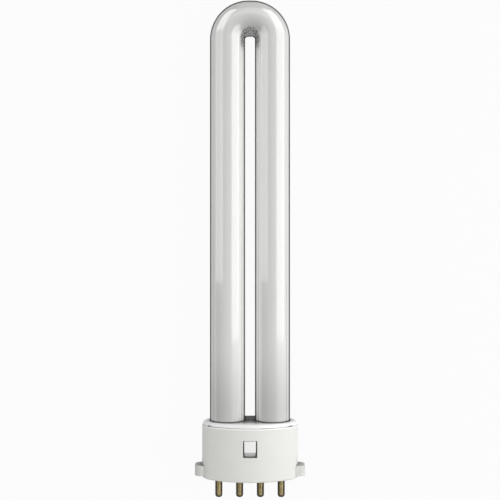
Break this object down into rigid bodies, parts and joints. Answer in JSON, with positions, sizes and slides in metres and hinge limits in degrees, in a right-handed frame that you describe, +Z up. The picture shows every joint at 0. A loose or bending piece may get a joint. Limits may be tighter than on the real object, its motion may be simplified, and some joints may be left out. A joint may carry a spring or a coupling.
{
  "type": "four pin compact fluorescent lamp",
  "caption": "Compact fluorescent lamp: a white coated U-bent glass tube in a moulded cap with side lugs, a snapped-in collar and brass contact pins in a row",
  "frame": {"origin": "on the surface that the lamp lies on, below the middle of its length", "axes": "+X across the two legs, +Y along the lamp from the pins towards the bend, +Z up from the surface"},
  "size_m": [0.037, 0.1668, 0.0184],
  "materials": {
    "coated_glass": "clear gloss glass over a white coating inside",
    "cap_moulding": "satin off-white",
    "collar_moulding": "semi-gloss white",
    "cement": "matt cement",
    "pin_brass": "turned, slightly dulled",
    "lead_metal": "drawn wire"
  },
  "bodies": {
    "root": {"discharge_tube": "coated_glass", "cap_shell": "cap_moulding", "tube_collar": "collar_moulding", "basing_cement_left": "cement", "basing_cement_right": "cement", "contact_pin_1": "pin_brass", "contact_pin_2": "pin_brass", "contact_pin_3": "pin_brass", "contact_pin_4": "pin_brass", "lead_wire_1": "lead_metal", "lead_wire_2": "lead_metal", "lead_wire_3": "lead_metal", "lead_wire_4": "lead_metal"}
  },
  "joints": []
}
